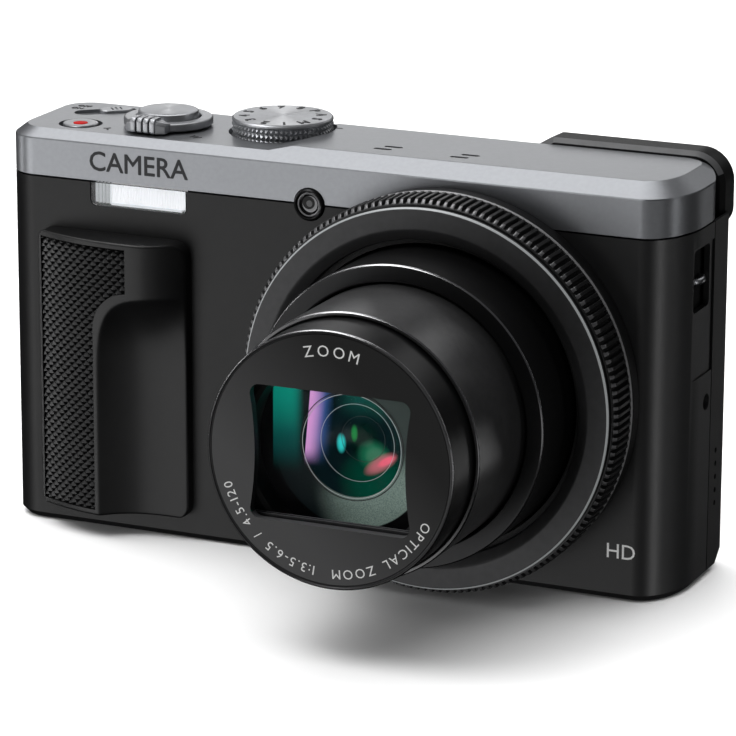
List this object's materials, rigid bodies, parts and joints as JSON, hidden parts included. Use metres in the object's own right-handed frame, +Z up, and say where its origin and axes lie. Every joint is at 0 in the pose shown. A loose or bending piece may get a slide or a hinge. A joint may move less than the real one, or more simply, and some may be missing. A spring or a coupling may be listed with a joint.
{
  "type": "compact digital camera",
  "caption": "Compact zoom camera: silver top over a black body with a textured grip, nested zoom barrels, control dials, flash, viewfinder and rear screen.",
  "frame": {"origin": "on the flat base, in the middle of the body's width and depth", "axes": "+X to the right of someone facing the front, -Y out of the lens, +Z up"},
  "size_m": [0.112, 0.0717, 0.066],
  "materials": {
    "body_plastic": "satin black, fine grain",
    "silver_paint": "satin silver-grey paint",
    "grip_plastic": "satin black",
    "grip_rubber": "black, small pyramids",
    "ring_metal": "black, fine turned lines, bright rim",
    "barrel_metal": "satin black, bright rim",
    "blade_metal": "matte black",
    "inner_plastic": "matte black",
    "machined_metal": "turned and brushed",
    "button_plastic": "satin black",
    "eyecup_rubber": "matte black",
    "steel": "bright",
    "reflector_chrome": "mirror bright",
    "clear_plastic": "clear, ribbed behind",
    "lens_glass": "coated, green and magenta reflections",
    "screen_glass": "glossy black",
    "sensor_glass": "dark iridescent",
    "circuit_board": "green solder mask",
    "battery_case": "dark grey label film"
  },
  "bodies": {
    "root": {"front_cover": "body_plastic", "rear_cover": "body_plastic", "top_cover": "silver_paint", "grip_frame": "grip_plastic", "grip_pad": "grip_rubber", "strap_lug": "steel", "tripod_socket": "steel", "side_screw": "steel", "flash_window": "clear_plastic", "flash_reflector": "reflector_chrome", "flash_tube": "clear_plastic", "flash_capacitor": "inner_plastic", "af_lamp_bezel": "ring_metal", "af_lamp_lens": "clear_plastic", "lens_base_ring": "ring_metal", "lens_housing": "inner_plastic", "image_sensor": "sensor_glass", "sensor_board": "circuit_board", "zoom_motor": "steel", "main_board": "circuit_board", "battery": "battery_case", "memory_card": "inner_plastic", "usb_socket": "steel", "hdmi_socket": "steel", "viewfinder_housing": "body_plastic", "eyepiece_frame": "eyecup_rubber", "eyepiece_lens": "lens_glass", "lcd_panel": "inner_plastic", "lcd_glass": "screen_glass"},
    "control_ring": {"control_ring": "ring_metal", "control_ring_face": "ring_metal"},
    "barrel_outer": {"barrel_outer": "barrel_metal"},
    "barrel_middle": {"barrel_middle": "barrel_metal", "zoom_carrier": "inner_plastic", "shutter_unit": "inner_plastic", "zoom_lens": "lens_glass"},
    "barrel_front": {"barrel_front": "barrel_metal", "name_ring": "barrel_metal", "front_lens_cell": "inner_plastic", "front_lens": "lens_glass"},
    "barrier_upper_inner": {"barrier_upper_inner": "blade_metal"},
    "barrier_upper_outer": {"barrier_upper_outer": "blade_metal"},
    "barrier_lower_inner": {"barrier_lower_inner": "blade_metal"},
    "barrier_lower_outer": {"barrier_lower_outer": "blade_metal"},
    "focus_lens": {"focus_lens": "lens_glass"},
    "mode_dial": {"mode_dial": "machined_metal"},
    "shutter_button": {"shutter_button": "machined_metal"},
    "zoom_lever": {"zoom_lever": "machined_metal"},
    "power_switch": {"power_switch": "machined_metal"},
    "record_button": {"record_button": "machined_metal"},
    "diopter_wheel": {"diopter_wheel": "button_plastic"},
    "rear_dial": {"rear_dial": "button_plastic"},
    "menu_button": {"menu_button": "button_plastic"},
    "af_lock_button": {"af_lock_button": "button_plastic"},
    "playback_button": {"playback_button": "button_plastic"},
    "quick_menu_button": {"quick_menu_button": "button_plastic"},
    "display_button": {"display_button": "button_plastic"},
    "terminal_door": {"terminal_door": "body_plastic"},
    "battery_door": {"battery_door": "body_plastic"},
    "battery_door_latch": {"battery_door_latch": "button_plastic"}
  },
  "joints": [
    {"name": "zoom_outer", "type": "slide", "parent": "root", "child": "barrel_outer", "axis": [0, -1, 0], "range_m": [-0.0105, 0.005]},
    {"name": "zoom_middle", "type": "slide", "parent": "barrel_outer", "child": "barrel_middle", "axis": [0, -1, 0], "range_m": [-0.0155, 0.0075]},
    {"name": "zoom_front", "type": "slide", "parent": "barrel_middle", "child": "barrel_front", "axis": [0, -1, 0], "range_m": [-0.0071, 0.0035]},
    {"name": "control_ring_turn", "type": "hinge", "parent": "root", "child": "control_ring", "pos_m": [0.02034, -0.019, 0.0309], "axis": [0, -1, 0], "continuous": true},
    {"name": "barrier_upper_inner_slide", "type": "slide", "parent": "barrel_front", "child": "barrier_upper_inner", "axis": [0, 0, -1], "range_m": [0, 0.00945], "stiffness_N_per_m": 20},
    {"name": "barrier_upper_outer_slide", "type": "slide", "parent": "barrel_front", "child": "barrier_upper_outer", "axis": [0, 0, -1], "range_m": [0, 0.0056], "stiffness_N_per_m": 20},
    {"name": "barrier_lower_inner_slide", "type": "slide", "parent": "barrel_front", "child": "barrier_lower_inner", "axis": [0, 0, 1], "range_m": [0, 0.00946], "stiffness_N_per_m": 20},
    {"name": "barrier_lower_outer_slide", "type": "slide", "parent": "barrel_front", "child": "barrier_lower_outer", "axis": [0, 0, 1], "range_m": [0, 0.0056], "stiffness_N_per_m": 20},
    {"name": "focus_slide", "type": "slide", "parent": "root", "child": "focus_lens", "axis": [0, 1, 0], "range_m": [-0.0008, 0.0008]},
    {"name": "mode_dial_turn", "type": "hinge", "parent": "root", "child": "mode_dial", "pos_m": [-0.015, 0.0029, 0.064], "axis": [0, 0, 1], "continuous": true},
    {"name": "shutter_press", "type": "slide", "parent": "root", "child": "shutter_button", "axis": [0, 0, -1], "range_m": [0, 0.0005], "stiffness_N_per_m": 400},
    {"name": "zoom_lever_turn", "type": "hinge", "parent": "root", "child": "zoom_lever", "pos_m": [-0.0332, -0.0004, 0.0642], "axis": [0, 0, 1], "range_deg": [-18, 18], "stiffness_Nm_per_rad": 0.02},
    {"name": "power_slide", "type": "slide", "parent": "root", "child": "power_switch", "axis": [0.788, 0.6157, 0], "range_m": [-0.0034, 0]},
    {"name": "record_press", "type": "slide", "parent": "root", "child": "record_button", "axis": [0, 0, -1], "range_m": [0, 0.0004], "stiffness_N_per_m": 300},
    {"name": "diopter_turn", "type": "hinge", "parent": "root", "child": "diopter_wheel", "pos_m": [0.0524, 0.01195, 0.0594], "axis": [1, 0, 0], "range_deg": [-120, 120]},
    {"name": "rear_dial_turn", "type": "hinge", "parent": "root", "child": "rear_dial", "pos_m": [-0.0386, 0.0117, 0.0245], "axis": [0, 1, 0], "continuous": true},
    {"name": "menu_press", "type": "slide", "parent": "root", "child": "menu_button", "axis": [0, -1, 0], "range_m": [0, 0.0004], "stiffness_N_per_m": 300},
    {"name": "af_lock_press", "type": "slide", "parent": "root", "child": "af_lock_button", "axis": [0, -1, 0], "range_m": [0, 0.0004], "stiffness_N_per_m": 300},
    {"name": "playback_press", "type": "slide", "parent": "root", "child": "playback_button", "axis": [0, -1, 0], "range_m": [0, 0.0004], "stiffness_N_per_m": 300},
    {"name": "quick_menu_press", "type": "slide", "parent": "root", "child": "quick_menu_button", "axis": [0, -1, 0], "range_m": [0, 0.0004], "stiffness_N_per_m": 300},
    {"name": "display_press", "type": "slide", "parent": "root", "child": "display_button", "axis": [0, -1, 0], "range_m": [0, 0.0004], "stiffness_N_per_m": 300},
    {"name": "terminal_door_hinge", "type": "hinge", "parent": "root", "child": "terminal_door", "pos_m": [-0.0554, -0.00495, 0.033], "axis": [0, 0, 1], "range_deg": [0, 100]},
    {"name": "battery_door_hinge", "type": "hinge", "parent": "root", "child": "battery_door", "pos_m": [-0.0174, -0.004, 0.00085], "axis": [0, -1, 0], "range_deg": [0, 95]},
    {"name": "battery_latch_slide", "type": "slide", "parent": "battery_door", "child": "battery_door_latch", "axis": [0, 1, 0], "range_m": [0, 0.0024]}
  ],
  "couplings": [
    {"joint": "zoom_middle", "follows": "zoom_outer", "ratio": 1.4667},
    {"joint": "zoom_front", "follows": "zoom_outer", "ratio": 0.6667},
    {"joint": "barrier_upper_outer_slide", "follows": "barrier_upper_inner_slide", "ratio": 0.582},
    {"joint": "barrier_lower_inner_slide", "follows": "barrier_upper_inner_slide", "ratio": 1},
    {"joint": "barrier_lower_outer_slide", "follows": "barrier_upper_inner_slide", "ratio": 0.582}
  ]
}
